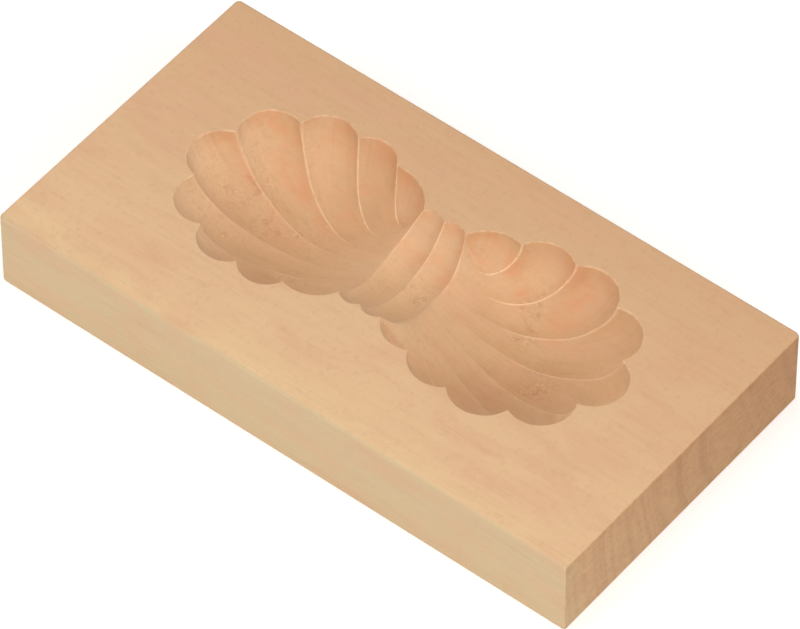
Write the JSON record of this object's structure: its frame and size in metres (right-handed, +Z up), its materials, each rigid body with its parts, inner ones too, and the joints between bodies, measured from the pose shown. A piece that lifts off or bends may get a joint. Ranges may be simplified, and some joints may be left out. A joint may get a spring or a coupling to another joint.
{
  "type": "speculaas mould",
  "caption": "Rectangular wooden board with a deep-carved sheaf of fluted fans tied at the waist, pressed full of spiced biscuit dough to shape it.",
  "frame": {"origin": "middle of the board's flat underside", "axes": "+X along the board's length, +Y across it to the long side nearer the carving, +Z up out of the carved face"},
  "size_m": [0.15, 0.079, 0.02],
  "materials": {
    "wood": "bare planed wood, satin from handling"
  },
  "bodies": {
    "root": {"mould_block": "wood"}
  },
  "joints": []
}
